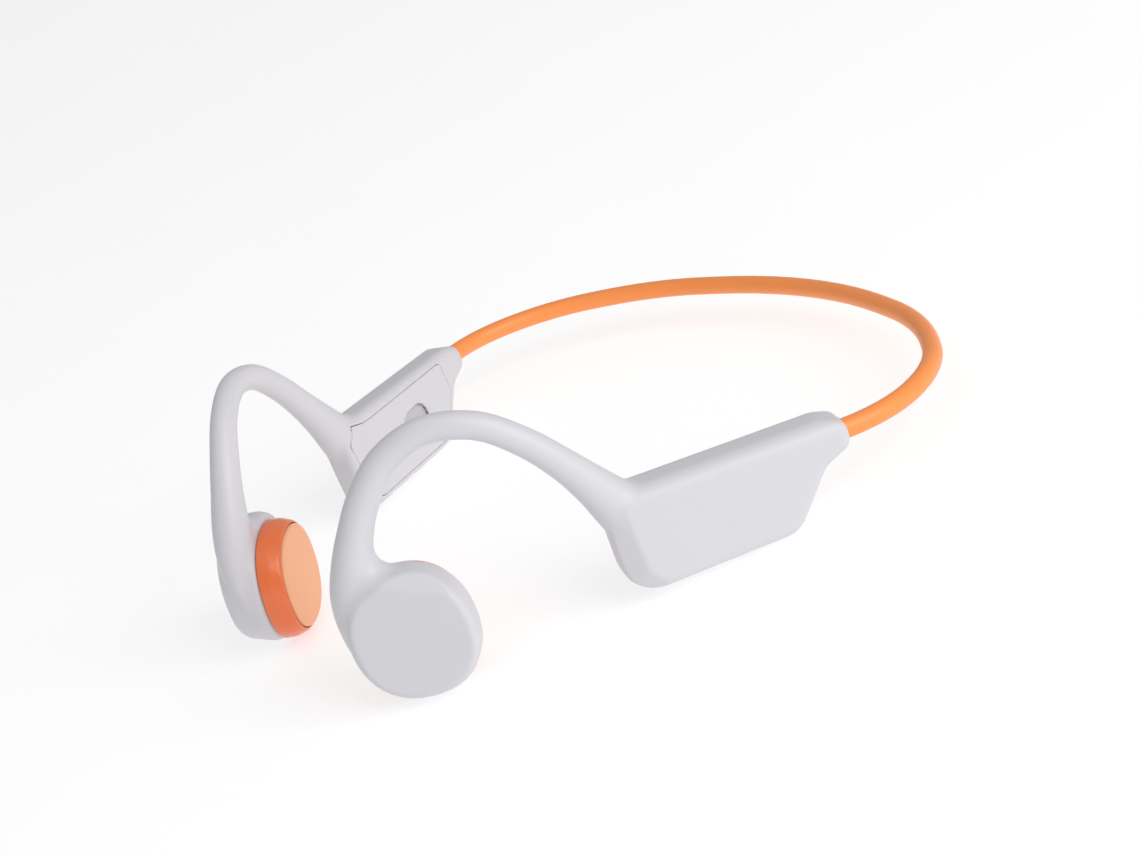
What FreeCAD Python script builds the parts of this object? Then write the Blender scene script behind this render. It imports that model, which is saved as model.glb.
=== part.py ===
import FreeCAD, Part
import math
import os

import Sketcher
from FreeCAD import Placement, Rotation, Vector

# Bone conduction headphones at rest on a table, in millimetres.
# +X is the wearer's left, +Y the back of the head, +Z up. The object is symmetric about X = 0.
# Each side is one flat ribbon in plan: a straight run at the transducer, an arc, and a straight
# run at the electronics pod. A place on it is (along, up, inward), measured from the transducer.

DIMENSIONS = [
    ("arm_x", 25.9, "start of the left ribbon: across"),
    ("arm_y", -58.77, "start of the left ribbon: front to back"),
    ("disc_along", -0.7, "transducer, centre of its seam: along the ribbon"),
    ("disc_height", 12.64, "transducer, centre of its seam: height"),
    ("disc_heading", 44.5, "plan angle of the ribbon at the transducer, from +Y"),
    ("disc_lean", 7.0, "how far the transducer's outer face looks up"),
    ("pod_heading", 22.6, "plan angle of the ribbon at the pod, from +Y"),
    ("plan_corner", 24.2, "start to the corner of the plan's two runs"),
    ("plan_tangent", 20.0, "corner to each end of the plan's arc"),
    ("cup_radius", 13.1, "transducer cup, outer radius"),
    ("cup_depth", 8.4, "transducer cup, seam to outer facet"),
    ("facet_radius", 11.3, "flat outer facet"),
    ("cup_wall", 1.2, "transducer cup wall"),
    ("seam_radius", 12.2, "cup and bezel where they meet"),
    ("bezel_depth", 4.7, "bezel ring, seam to rim"),
    ("bezel_rim", 11.5, "bezel ring, outer radius at its rim"),
    ("bezel_bore", 10.55, "bezel ring, bore around the pad"),
    ("pad_radius", 10.3, "contact pad"),
    ("pad_back", 2.6, "seam to the back of the contact pad"),
    ("pad_face", 5.6, "seam to the face of the contact pad"),
    ("plate_radius", 8.6, "vibration plate"),
    ("plate_back", 1.6, "seam to the back of the vibration plate"),
    ("spring_front", 1.15, "seam to the front of the spring plate"),
    ("spring_back", 0.9, "seam to the back of the spring plate"),
    ("spring_bore", 7.7, "spring plate bore"),
    ("coil_outer", 7.2, "voice coil, outer radius"),
    ("coil_inner", 6.2, "voice coil, inner radius"),
    ("coil_end", 3.4, "seam to the voice coil's end in the yoke"),
    ("yoke_outer", 9.2, "yoke, outer radius"),
    ("yoke_inner", 7.6, "yoke, bore"),
    ("yoke_front", 0.4, "seam to the open end of the yoke"),
    ("yoke_floor", 5.8, "seam to the inside of the yoke's floor"),
    ("magnet_radius", 5.7, "driver magnet"),
    ("magnet_front", 2.0, "seam to the front of the driver magnet"),
    ("pole_front", 0.5, "seam to the front of the pole plate"),
    ("pod_thick", 9.0, "pod, outer face to inner face"),
    ("pod_split", 2.2, "pod, mid plane to the parting line"),
    ("pod_wall", 1.3, "pod wall"),
    ("pod_edge", 3.0, "rounding of the pod's outer edges"),
    ("seal_height", 0.8, "cover seal, across the parting line"),
    ("hook_wire", 1.2, "ear hook wire diameter"),
    ("hook_lead", 0.6, "driver lead pair diameter"),
    ("band_diameter", 4.0, "neckband sleeve diameter"),
    ("band_wire", 1.2, "neckband spring wire diameter"),
    ("band_lead", 0.7, "neckband lead bundle diameter"),
    ("band_height", 14.2, "neckband centre line where it leaves the pod"),
    ("band_slope", 6.1, "neckband's fall towards the back, degrees"),
    ("gland_diameter", 4.9, "band gland, outer diameter"),
    ("key_length", 5.4, "key length"),
    ("key_width", 2.4, "key width"),
    ("key_proud", 0.4, "how far a key stands out of the pod"),
    ("key_flange", 0.5, "how far a key's flange reaches past its slot"),
    ("key_gap", 0.15, "gap around a key"),
    ("port_length", 10.0, "charging recess, length"),
    ("port_height", 7.2, "charging recess, height"),
    ("port_depth", 1.0, "charging recess, depth"),
]

# Stations of the ear hook's centre line: along, up, inward, width in its plane, thickness.
HOOK_STATIONS = [
    (-7.2, 15.0, -4.6, 11.6, 6.6),
    (-6.9, 22.0, -4.0, 10.6, 6.4),
    (-5.0, 28.6, -2.4, 8.0, 6.0),
    (-2.2, 34.2, -1.0, 6.6, 5.6),
    (1.9, 40.1, 0.2, 6.0, 5.2),
    (8.2, 45.8, 1.0, 5.5, 5.0),
    (17.0, 48.6, 1.1, 5.2, 4.9),
    (26.2, 45.9, 0.7, 5.2, 4.9),
    (33.1, 39.4, 0.3, 5.4, 5.0),
    (37.7, 32.4, 0.0, 5.9, 5.3),
    (41.0, 26.0, 0.0, 7.2, 5.8),
    (43.8, 20.0, 0.0, 9.2, 6.2),
    (46.0, 14.5, 0.0, 9.6, 6.2),
]

# The pod's side outline: along, up, and the rounding of that corner.
POD_OUTLINE = [
    (39.5, 22.0, 2.0),
    (39.7, 2.6, 6.0),
    (73.4, -0.14, 4.0),
    (82.4, 10.2, 2.0),
    (87.6, 12.2, 1.2),
    (87.8, 17.4, 1.2),
    (84.6, 18.9, 4.0),
    (46.0, 23.4, 2.0),
]

# The hollow inside the pod: along and up.
HOLLOW_OUTLINE = [(41.2, 18.5), (41.2, 3.9), (72.0, 1.5), (79.6, 10.0), (81.4, 13.0), (81.4, 16.2), (46.5, 20.6)]

# Corners of the neckband's centre line: across, back from the transducer, and the bend's radius.
BAND_CORNERS = [(71.4, 85.9, 25.5), (65.2, 105.1, 35.5), (44.6, 121.7, 63.0), (13.8, 130.0, 104.0)]
BAND_ENTRY = 82.4
GLAND_MOUTH = 88.3

# Routes inside the hook: along, up, inward.
HOOK_ROUTE = [
    (-4.6, 27.0, -2.8),
    (-2.1, 34.2, -1.0),
    (5.0, 44.3, 0.8),
    (17.0, 49.8, 1.1),
    (29.0, 44.0, 0.6),
    (37.7, 32.4, 0.0),
    (42.6, 22.0, 0.0),
    (43.8, 18.4, 0.0),
]
HOOK_ROUTE_RADII = [14.0, 14.0, 14.0, 14.0, 20.0, 14.0]
LEAD_OFFSET = 1.35

KEY_PLACES = {"volume_down_key": 48.5, "power_key": 55.2, "volume_up_key": 61.9}
MICROPHONE_PLACE = 67.0
LIGHT_PLACE = 70.3
PORT_CENTRE = (64.5, 11.0)
POD_ORIGIN = 45.0

doc = FreeCAD.newDocument("headphones")
dims = doc.addObject("Spreadsheet::Sheet", "dims")
for row, (alias, number, note) in enumerate(DIMENSIONS, start=1):
    dims.set(f"A{row}", note)
    dims.set(f"B{row}", str(number))
    dims.setAlias(f"B{row}", alias)
doc.recompute()

nodes = []


def size(alias):
    """The number that a cell of the sheet holds."""
    return float(dims.get(alias))


def keep(thing):
    """Mark a finished sub-part, which is written to its own file."""
    nodes.append(thing)
    return thing


# ---------------------------------------------------------------- places


def heading(angle):
    return Vector(math.sin(math.radians(angle)), math.cos(math.radians(angle)), 0)


def arm_frame(along):
    """Plan position and plan angle of the left ribbon at a distance along it."""
    start_angle = size("disc_heading")
    end_angle = size("pod_heading")
    turn = math.radians(start_angle - end_angle)
    radius = size("plan_tangent") / math.tan(turn / 2)
    arc_start = size("plan_corner") - size("plan_tangent")
    origin = Vector(size("arm_x"), size("arm_y"), 0)
    if along <= arc_start:
        return origin + heading(start_angle) * along, start_angle
    reach = min(along - arc_start, radius * turn)
    angle = start_angle - math.degrees(reach / radius)
    chord = 2 * radius * math.sin(reach / radius / 2)
    point = origin + heading(start_angle) * arc_start
    point += heading((start_angle + angle) / 2) * chord
    return point + heading(angle) * (along - arc_start - reach), angle


def arm_point(along, up, inward=0.0):
    point, angle = arm_frame(along)
    return point + heading(angle - 90) * inward + Vector(0, 0, up)


def pod_placement():
    """X along the pod, Y inward, Z up, from the pod's own origin on the ribbon."""
    point, angle = arm_frame(POD_ORIGIN)
    return Placement(point, Rotation(Vector(0, 0, 1), 90 - angle))


def disc_placement():
    """Z out of the transducer's outer face, from the centre of its seam."""
    lean = math.radians(size("disc_lean"))
    outward = heading(size("disc_heading") + 90) * math.cos(lean) + Vector(0, 0, math.sin(lean))
    across = heading(size("disc_heading"))
    centre = arm_point(size("disc_along"), size("disc_height"))
    return Placement(centre, Rotation(across, Vector(), outward, "ZXY"))


# ---------------------------------------------------------------- ways of making a piece


def new_body(label, placement):
    body = doc.addObject("PartDesign::Body", label)
    body.Label = label
    body.Placement = placement
    return body


def outline_sketch(body, plane, points):
    """A closed polyline on one of the body's planes, each corner tied to two expressions."""
    sketch = body.newObject("Sketcher::SketchObject", body.Label + "_outline")
    base = next(item for item in body.Origin.OriginFeatures if item.Role == plane)
    sketch.AttachmentSupport = [(base, "")]
    sketch.MapMode = "FlatFace"
    values = [[float(dims.evalExpression(text)) for text in point] for point in points]
    count = len(points)
    for index, (here, there) in enumerate(zip(values, values[1:] + values[:1])):
        sketch.addGeometry(Part.LineSegment(Vector(*here, 0), Vector(*there, 0)))
    for index in range(count):
        following = (index + 1) % count
        sketch.addConstraint(Sketcher.Constraint("Coincident", index, 2, following, 1))
    for index, (texts, numbers) in enumerate(zip(points, values)):
        for kind, text, number in zip(("DistanceX", "DistanceY"), texts, numbers):
            rule = sketch.addConstraint(Sketcher.Constraint(kind, -1, 1, index, 1, number))
            sketch.setExpression(f"Constraints[{rule}]", text)
    return sketch


def turned(label, points, placement):
    """A piece turned about its own Z: points are (radius, height) expressions."""
    body = new_body(label, placement)
    sketch = outline_sketch(body, "XZ_Plane", points)
    turn = body.newObject("PartDesign::Revolution", label + "_turn")
    turn.Profile = sketch
    turn.ReferenceAxis = (sketch, ["V_Axis"])
    turn.Angle = 360
    doc.recompute()
    return body


def ring(label, inner, outer, low, high, placement):
    corners = [(inner, low), (outer, low), (outer, high), (inner, high)]
    return turned(label, corners, placement)



def box_piece(label, low, high, placement):
    """A block between two corners given in the placement's own axes."""
    block = doc.addObject("Part::Box", label)
    block.Label = label
    block.Length, block.Width, block.Height = [b - a for a, b in zip(low, high)]
    block.Placement = placement * Placement(Vector(*low), Rotation())
    return block


def shape_piece(label, shape):
    piece = doc.addObject("Part::Feature", label)
    piece.Label = label
    piece.Shape = shape
    return piece


def joined(label, pieces):
    union = doc.addObject("Part::MultiFuse", label)
    union.Label = label
    union.Shapes = pieces
    doc.recompute()
    return union


def cut_from(label, base, tool):
    remainder = doc.addObject("Part::Cut", label)
    remainder.Label = label
    remainder.Base = base
    remainder.Tool = tool
    doc.recompute()
    return remainder


def shared(label, base, tool):
    overlap = doc.addObject("Part::Common", label)
    overlap.Label = label
    overlap.Base = base
    overlap.Tool = tool
    doc.recompute()
    return overlap


def mirrored(label, source):
    """The right-hand twin of a left-hand piece."""
    twin = doc.addObject("Part::Mirroring", label)
    twin.Label = label
    twin.Source = source
    twin.Normal = Vector(1, 0, 0)
    doc.recompute()
    return twin


def both_sides(name, piece):
    """Keep a left-hand piece and its mirror image."""
    piece.Label = "left_" + name
    keep(piece)
    keep(mirrored("right_" + name, piece))


def rounded_edges(body, radius_text, test):
    """Round the edges of the body's tip that pass a test on their middle point."""
    base = body.Tip
    names = []
    for index, edge in enumerate(base.Shape.Edges, start=1):
        if test(edge):
            names.append(f"Edge{index}")
    fillet = body.newObject("PartDesign::Fillet", body.Label + "_rounding")
    fillet.Base = (base, names)
    fillet.setExpression("Radius", radius_text)
    doc.recompute()
    body.Tip = fillet
    doc.recompute()
    return fillet


# ---------------------------------------------------------------- transducers


def cup_solid():
    corners = [
        ("0", "0"),
        ("dims.seam_radius", "0"),
        ("dims.cup_radius", "dims.cup_depth * 0.35"),
        ("dims.cup_radius * 0.99", "dims.cup_depth * 0.6"),
        ("dims.facet_radius + 0.8", "dims.cup_depth * 0.87"),
        ("dims.facet_radius", "dims.cup_depth"),
        ("0", "dims.cup_depth"),
    ]
    return turned("cup_outside", corners, disc_placement())


def cup_cavity():
    bore = "dims.seam_radius - dims.cup_wall"
    floor = "dims.cup_depth - dims.cup_wall"
    corners = [("0", "-0.5"), (bore, "-0.5"), (bore, floor + " - 1.5"), (bore + " - 1.5", floor), ("0", floor)]
    return turned("cup_inside", corners, disc_placement())


def bezel():
    corners = [
        ("dims.seam_radius - dims.cup_wall", "0"),
        ("dims.seam_radius", "0"),
        ("dims.seam_radius + 0.1", "-dims.bezel_depth * 0.4"),
        ("dims.seam_radius - 0.2", "-dims.bezel_depth * 0.75"),
        ("dims.bezel_rim", "-dims.bezel_depth"),
        ("dims.bezel_bore", "-dims.bezel_depth"),
        ("dims.bezel_bore", "-dims.spring_front"),
        ("dims.seam_radius - dims.cup_wall", "-dims.spring_front"),
    ]
    return turned("left_bezel", corners, disc_placement())


def contact_pad():
    corners = [
        ("0", "-dims.pad_back"),
        ("dims.pad_radius", "-dims.pad_back"),
        ("dims.pad_radius", "-dims.pad_face + 0.9"),
        ("dims.pad_radius - 1.2", "-dims.pad_face"),
        ("0", "-dims.pad_face"),
    ]
    return turned("left_contact_pad", corners, disc_placement())


def yoke():
    corners = [
        ("0", "dims.yoke_floor"),
        ("dims.yoke_inner", "dims.yoke_floor"),
        ("dims.yoke_inner", "dims.yoke_front"),
        ("dims.yoke_outer", "dims.yoke_front"),
        ("dims.yoke_outer", "dims.cup_depth - dims.cup_wall"),
        ("0", "dims.cup_depth - dims.cup_wall"),
    ]
    return turned("left_yoke", corners, disc_placement())


def transducer():
    place = disc_placement()
    both_sides("bezel", bezel())
    both_sides("contact_pad", contact_pad())
    plate = ring("left_vibration_plate", "0", "dims.plate_radius", "-dims.pad_back", "-dims.plate_back", place)
    both_sides("vibration_plate", plate)
    coil = ring(
        "left_voice_coil", "dims.coil_inner", "dims.coil_outer", "-dims.plate_back", "dims.coil_end", place
    )
    both_sides("voice_coil", coil)
    spring = ring(
        "left_spring_plate",
        "dims.spring_bore",
        "dims.seam_radius - dims.cup_wall",
        "-dims.spring_front",
        "-dims.spring_back",
        place,
    )
    both_sides("spring_plate", spring)
    both_sides("yoke", yoke())
    magnet = ring("left_driver_magnet", "0", "dims.magnet_radius", "dims.magnet_front", "dims.yoke_floor", place)
    both_sides("driver_magnet", magnet)
    pole = ring("left_pole_plate", "0", "dims.magnet_radius", "dims.pole_front", "dims.magnet_front", place)
    both_sides("pole_plate", pole)


# ---------------------------------------------------------------- ear hooks


def hook_frames():
    """Centre, running direction and inward direction at each station of the hook."""
    centres = [arm_point(*station[:3]) for station in HOOK_STATIONS]
    frames = []
    for index, station in enumerate(HOOK_STATIONS):
        before = centres[max(index - 1, 0)]
        after = centres[min(index + 1, len(centres) - 1)]
        along = (after - before).normalize()
        inward = heading(arm_frame(station[0])[1] - 90)
        frames.append((centres[index], along, inward))
    return frames


def hook_solid():
    """One loft through an ellipse at each station."""
    sections = []
    for (centre, along, inward), station in zip(hook_frames(), HOOK_STATIONS):
        across = inward.cross(along)
        oval = doc.addObject("Part::Ellipse", "hook_section")
        oval.MajorRadius = station[3] / 2
        oval.MinorRadius = station[4] / 2
        oval.Placement = Placement(centre, Rotation(across, Vector(), along, "ZXY"))
        sections.append(oval)
    loft = doc.addObject("Part::Loft", "hook_outside")
    loft.Sections = sections
    loft.Solid = True
    loft.Ruled = False
    doc.recompute()
    return loft


def round_path(points, radii):
    """Straight runs joined by tangent arcs, one radius for each inner point."""
    edges = []
    here = points[0]
    for index, radius in enumerate(radii, start=1):
        corner = points[index]
        back = (points[index - 1] - corner).normalize()
        ahead = (points[index + 1] - corner).normalize()
        half = back.getAngle(ahead) / 2
        reach = radius / math.tan(half)
        start = corner + back * reach
        end = corner + ahead * reach
        bisector = (back + ahead).normalize()
        middle = corner + bisector * (radius / math.sin(half) - radius)
        if (start - here).Length > 1e-6:
            edges.append(Part.LineSegment(here, start).toShape())
        edges.append(Part.Arc(start, middle, end).toShape())
        here = end
    edges.append(Part.LineSegment(here, points[-1]).toShape())
    return Part.Wire(edges)


def tube(wire, diameter):
    """A round solid of one diameter along a path."""
    start = wire.OrderedEdges[0]
    direction = start.tangentAt(start.FirstParameter)
    place = start.valueAt(start.FirstParameter)
    circle = Part.Wire([Part.Circle(place, direction, diameter / 2).toShape()])
    return wire.makePipeShell([circle], True, False)


def hook_tube(label, diameter, inward):
    """A round core along the hook's route, shifted inward."""
    points = [arm_point(along, up, depth + inward) for along, up, depth in HOOK_ROUTE]
    return shape_piece(label, tube(round_path(points, HOOK_ROUTE_RADII), diameter))


# ---------------------------------------------------------------- electronics pods


def pod_plate(label, corners, thickness, depth):
    """A flat outline in the pod's side plane, padded about a depth inward of the mid plane."""
    place = pod_placement() * Placement(Vector(0, depth, 0), Rotation())
    body = new_body(label, place)
    points = [(str(along - POD_ORIGIN), str(up)) for along, up in corners]
    pad = body.newObject("PartDesign::Pad", label + "_pad")
    pad.Profile = outline_sketch(body, "XZ_Plane", points)
    pad.Midplane = True
    pad.setExpression("Length", thickness)
    doc.recompute()
    body.Tip = pad
    doc.recompute()
    return body


def pod_solid():
    """The pod's outside: its side outline, padded and rounded."""
    body = pod_plate("pod_outside", [corner[:2] for corner in POD_OUTLINE], "dims.pod_thick", 0)
    for along, up, radius in POD_OUTLINE:
        place = Vector(along - POD_ORIGIN, 0, up)
        rounded_edges(body, str(radius), lambda edge: is_corner(edge, place))
    rounded_edges(body, "dims.pod_edge", is_rim)
    return body


def is_corner(edge, place):
    """True for the edge that runs through the pod's thickness at an outline corner."""
    middle = edge.valueAt((edge.FirstParameter + edge.LastParameter) / 2)
    return (middle - place).Length < 0.01


def is_rim(edge):
    """True for an edge round one of the pod's two faces."""
    middle = edge.valueAt((edge.FirstParameter + edge.LastParameter) / 2)
    return abs(abs(middle.y) - size("pod_thick") / 2) < 1e-4


def wider(corners, margin):
    """An outline moved out by about a margin from its own middle."""
    middle_along = sum(corner[0] for corner in corners) / len(corners)
    middle_up = sum(corner[1] for corner in corners) / len(corners)
    return [
        (along + math.copysign(margin, along - middle_along), up + math.copysign(margin, up - middle_up))
        for along, up in corners
    ]


def inner_half():
    """A block over everything inward of the parting line."""
    return box_piece("inner_half", (-10, size("pod_split"), -5), (50, 10, 30), pod_placement())


def floor_placement(along):
    """On the pod's underside: X along it, Z into the pod."""
    (front_along, front_up, _), (rear_along, rear_up, _) = POD_OUTLINE[1:3]
    slope = (rear_up - front_up) / (rear_along - front_along)
    up = front_up + slope * (along - front_along)
    place = Placement(Vector(along - POD_ORIGIN, 0, up), Rotation(Vector(0, 1, 0), -math.degrees(math.atan(slope))))
    return pod_placement() * place


def stadium(label, length, width, low, high, placement):
    """A prism with two straight sides and two round ends."""
    reach = (length - width) / 2
    left, right = Vector(-reach, 0, low), Vector(reach, 0, low)
    side = Vector(0, width / 2, 0)
    edges = [
        Part.LineSegment(left - side, right - side).toShape(),
        Part.Arc(right - side, right + Vector(width / 2, 0, 0), right + side).toShape(),
        Part.LineSegment(right + side, left + side).toShape(),
        Part.Arc(left + side, left - Vector(width / 2, 0, 0), left - side).toShape(),
    ]
    piece = shape_piece(label, Part.Face(Part.Wire(edges)).extrude(Vector(0, 0, high - low)))
    piece.Placement = placement
    return piece


def post(label, radius, low, high, placement):
    column = doc.addObject("Part::Cylinder", label)
    column.Label = label
    column.Radius = radius
    column.Height = high - low
    column.Placement = placement * Placement(Vector(0, 0, low), Rotation())
    return column


def frame_and_cover():
    """The moulding of cup, hook and pod, its inner cover, and the seal between them."""
    pod = pod_solid()
    hollow = pod_plate("pod_hollow", HOLLOW_OUTLINE, "dims.pod_thick - 2 * dims.pod_wall", 0)
    rim = pod_plate("seal_outside", wider(HOLLOW_OUTLINE, 0.7), "dims.seal_height", size("pod_split"))
    lid = shared("cover_blank", pod, inner_half())
    gland = band_gland()
    wire = hook_tube("hook_wire", size("hook_wire"), 0)
    leads = hook_tube("driver_leads", size("hook_lead"), LEAD_OFFSET)
    outside = joined("frame_outside", [cup_solid(), hook_solid(), pod])
    inside = joined("frame_inside", [cup_cavity(), hollow, rim, lid])
    socket = doc.getObject("gland_outside")
    cores = joined("frame_cores", [wire, leads, socket])
    frame = cut_from("left_frame", cut_from("frame_open", outside, inside), cores)
    both = joined("cover_inside", [hollow, rim, socket])
    cover = cut_from("left_inner_cover", lid, both)
    seal = cut_from("left_cover_seal", rim, hollow)
    for name, piece in (("hook_wire", wire), ("driver_leads", leads), ("gland", gland)):
        both_sides(name, piece)
    both_sides("cover_seal", seal)
    return frame, cover


# ---------------------------------------------------------------- neckband


def band_points(lift=0.0):
    """Corners of the band's centre line from the left pod to the right pod."""
    start = arm_point(BAND_ENTRY, 0)
    slope = math.radians(size("band_slope"))
    mouth = arm_point(GLAND_MOUTH, 0)
    shift = Vector(0, math.sin(slope), math.cos(slope)) * lift
    left = [start] + [Vector(across, size("arm_y") + back, 0) for across, back, radius in BAND_CORNERS]
    for point in left:
        point.z = size("band_height") - math.tan(slope) * (point.y - mouth.y)
    left = [point + shift for point in left]
    right = [Vector(-point.x, point.y, point.z) for point in reversed(left)]
    return left + right


def band_path(lift=0.0):
    radii = [corner[2] for corner in BAND_CORNERS]
    return round_path(band_points(lift), radii + radii[::-1])


def band_gland():
    """The collar that holds the band's end in the pod, with the band's own bore."""
    points = band_points()
    run = (points[1] - points[0]).normalize()
    length = GLAND_MOUTH - BAND_ENTRY
    place = Placement(points[0], Rotation(Vector(0, 0, 1), run))
    bore = size("band_diameter") / 2
    collar = post("gland_outside", size("gland_diameter") / 2, 0, length, place)
    hole = post("gland_bore", bore, -1, length + 1, place)
    return cut_from("left_gland", collar, hole)


def neckband():
    wire = keep(shape_piece("neckband_wire", tube(band_path(), size("band_wire"))))
    leads = keep(shape_piece("neckband_leads", tube(band_path(1.2), size("band_lead"))))
    rubber = shape_piece("band_outside", tube(band_path(), size("band_diameter")))
    keep(cut_from("neckband_sleeve", rubber, joined("band_cores", [wire, leads])))


# ---------------------------------------------------------------- electronics


def right_only(label, piece):
    """A piece of the right pod, made on the left and mirrored."""
    keep(mirrored(label, piece))


def key_blank(name, gap):
    place = floor_placement(KEY_PLACES[name])
    length = size("key_length") + 2 * gap
    width = size("key_width") + 2 * gap
    return stadium(name + "_blank", length, width, -size("key_proud"), 1.6, place)


def keys():
    """Three keys on the right pod's underside, each with a flange that keeps it in."""
    reach = 2 * size("key_flange")
    for name, along in KEY_PLACES.items():
        length, width = size("key_length") + reach, size("key_width") + reach
        flange = stadium(name + "_flange", length, width, 1.6, 2.0, floor_placement(along))
        right_only(name, joined(name + "_left", [key_blank(name, 0), flange]))


def key_slots():
    return [key_blank(name, size("key_gap")) for name in KEY_PLACES]


def key_electronics():
    """The board over the keys, with its switches and the microphone."""
    middle = floor_placement(KEY_PLACES["power_key"])
    right_only("key_board", box_piece("key_board_left", (-9.6, -1.9, 3.8), (13.4, 1.9, 4.5), middle))
    switches = []
    for along in KEY_PLACES.values():
        switches.append(box_piece("switch", (-1.5, -1.3, 2.5), (1.5, 1.3, 3.8), floor_placement(along)))
    right_only("tactile_switches", joined("switches_left", switches))
    capsule = box_piece("microphone_left", (-1.4, -1.4, 2.7), (1.4, 1.4, 3.8), floor_placement(MICROPHONE_PLACE))
    right_only("microphone", capsule)


def charge_port():
    """Socket insert, its two pins and two holding magnets, inside the right pod's cover."""
    across, up = PORT_CENTRE
    face = size("pod_thick") / 2
    local = Placement(Vector(across - POD_ORIGIN, 0, up), Rotation(Vector(1, 0, 0), -90))
    place = pod_placement() * local
    floor = face - size("port_depth")
    length, height = size("port_length"), size("port_height")
    hole = stadium("port_hole", length, height, 1.4, face + 1, place)
    insert = stadium("socket_blank", length, height, 1.4, floor, place)
    pins, magnets = [], []
    for side in (-1, 1):
        shift = place * Placement(Vector(side * 1.6, 0, 0), Rotation())
        pins.append(post("charge_pin", 0.7, 0.45, floor + 0.1, shift))
        magnets.append(box_piece("charge_magnet", (side * 3.7 - 0.8, -1.8, 0.6), (side * 3.7 + 0.8, 1.8, 1.4), place))
    pin_pair = joined("pins_left", pins)
    right_only("charge_pins", pin_pair)
    right_only("charge_magnets", joined("magnets_left", magnets))
    right_only("charge_socket", cut_from("socket_left", insert, pin_pair))
    return hole


def light_pipe():
    return post("light_pipe_left", 0.7, 0.0, 2.4, floor_placement(LIGHT_PLACE))


def main_board():
    place = pod_placement()
    right_only("main_board", box_piece("board_left", (1.0, -0.35, 8.2), (26.0, 0.45, 17.0), place))
    right_only("shield_can", box_piece("can_left", (3.0, -1.9, 9.2), (15.0, -0.35, 16.2), place))


def battery():
    place = pod_placement()
    keep(box_piece("battery", (-2.5, -2.7, 4.4), (24.5, 2.3, 16.6), place))
    keep(box_piece("battery_foam", (0.0, 2.3, 6.0), (22.0, 3.1, 16.0), place))
    keep(box_piece("protection_board", (26.0, -1.8, 7.0), (31.0, -1.0, 15.0), place))


# ---------------------------------------------------------------- the whole object


def shells():
    """Both frames and both covers; the right ones are pierced for keys, light and charging."""
    frame, cover = frame_and_cover()
    keep(frame)
    keep(cover)
    pipe = light_pipe()
    sound_hole = post("sound_hole", 0.4, -1, 3, floor_placement(MICROPHONE_PLACE))
    openings = joined("frame_openings", key_slots() + [pipe, sound_hole])
    right_only("right_frame", cut_from("frame_pierced", frame, openings))
    right_only("right_inner_cover", cut_from("cover_pierced", cover, charge_port()))
    right_only("light_pipe", pipe)


def check():
    """Stop if any object failed or any sub-part isn't one good shape."""
    doc.recompute()
    for thing in doc.Objects:
        if "Invalid" in thing.State or "Error" in thing.State:
            raise RuntimeError(f"{thing.Name} did not compute")
    for thing in nodes:
        if thing.Shape.isNull() or not thing.Shape.isValid() or thing.Shape.Volume <= 0:
            raise RuntimeError(f"{thing.Label} has no good shape")


def write():
    os.makedirs("parts", exist_ok=True)
    for thing in nodes:
        thing.Shape.exportStep(f"parts/{thing.Label}.step")
        print(thing.Label, len(thing.Shape.Solids), round(thing.Shape.Volume, 1))


transducer()
shells()
keys()
key_electronics()
main_board()
battery()
neckband()
check()
write()
box = Part.makeCompound([thing.Shape for thing in nodes]).optimalBoundingBox()
print(len(nodes), box)
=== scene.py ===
"""Finished look of a pair of bone conduction headphones, built on the fixed CAD frame."""

import math

import bmesh
import bpy
from mathutils import Matrix, Vector


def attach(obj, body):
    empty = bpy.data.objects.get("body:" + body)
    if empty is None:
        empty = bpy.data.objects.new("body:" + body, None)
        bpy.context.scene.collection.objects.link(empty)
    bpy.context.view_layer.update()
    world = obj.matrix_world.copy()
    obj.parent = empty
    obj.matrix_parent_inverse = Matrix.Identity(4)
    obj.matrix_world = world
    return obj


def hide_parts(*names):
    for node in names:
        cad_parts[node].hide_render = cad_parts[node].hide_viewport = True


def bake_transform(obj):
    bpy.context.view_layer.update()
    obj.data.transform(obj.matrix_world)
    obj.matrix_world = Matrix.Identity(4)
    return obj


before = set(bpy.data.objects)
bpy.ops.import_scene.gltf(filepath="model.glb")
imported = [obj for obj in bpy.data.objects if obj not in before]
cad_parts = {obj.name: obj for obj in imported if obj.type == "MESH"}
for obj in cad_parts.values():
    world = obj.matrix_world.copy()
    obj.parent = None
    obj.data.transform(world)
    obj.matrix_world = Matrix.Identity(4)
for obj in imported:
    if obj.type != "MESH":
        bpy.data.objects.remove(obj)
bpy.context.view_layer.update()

bl_info = {
    "name": "Bone Conduction Headphones",
    "version": (1, 0, 0),
    "blender": (4, 5, 0),
    "location": "View3D > Sidebar > Headphones",
    "description": "Builds the moulded arms, transducers, neckband and small parts of the headphones",
    "category": "Add Mesh",
}

MM = 0.001
SIDES = {"left": 1, "right": -1}
BEVEL = {"profile": 0.5, "material": -1}

# ---------------------------------------------------------------- measures of the left arm
# Lengths in millimetres and angles in degrees. A place on the arm is given along it from front
# to back, up from the surface it stands on, and in towards the head.

# Seen from above, the arm runs straight back at its front heading, turns along an arc whose two
# ends lie one reach from the bend's centre, and runs straight on at its rear heading.
ARM_START = Vector((25.9, -58.77, 0.0))
FRONT_HEADING = 44.5
REAR_HEADING = 22.6
BEND_CENTRE = 24.2
BEND_REACH = 20.0
POD_MIDDLE = 45.0

# Centre of the transducer's seam, and how far its axis leans up.
DISC_ALONG = -0.7
DISC_HEIGHT = 12.64
DISC_LEAN = 7.0

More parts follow.
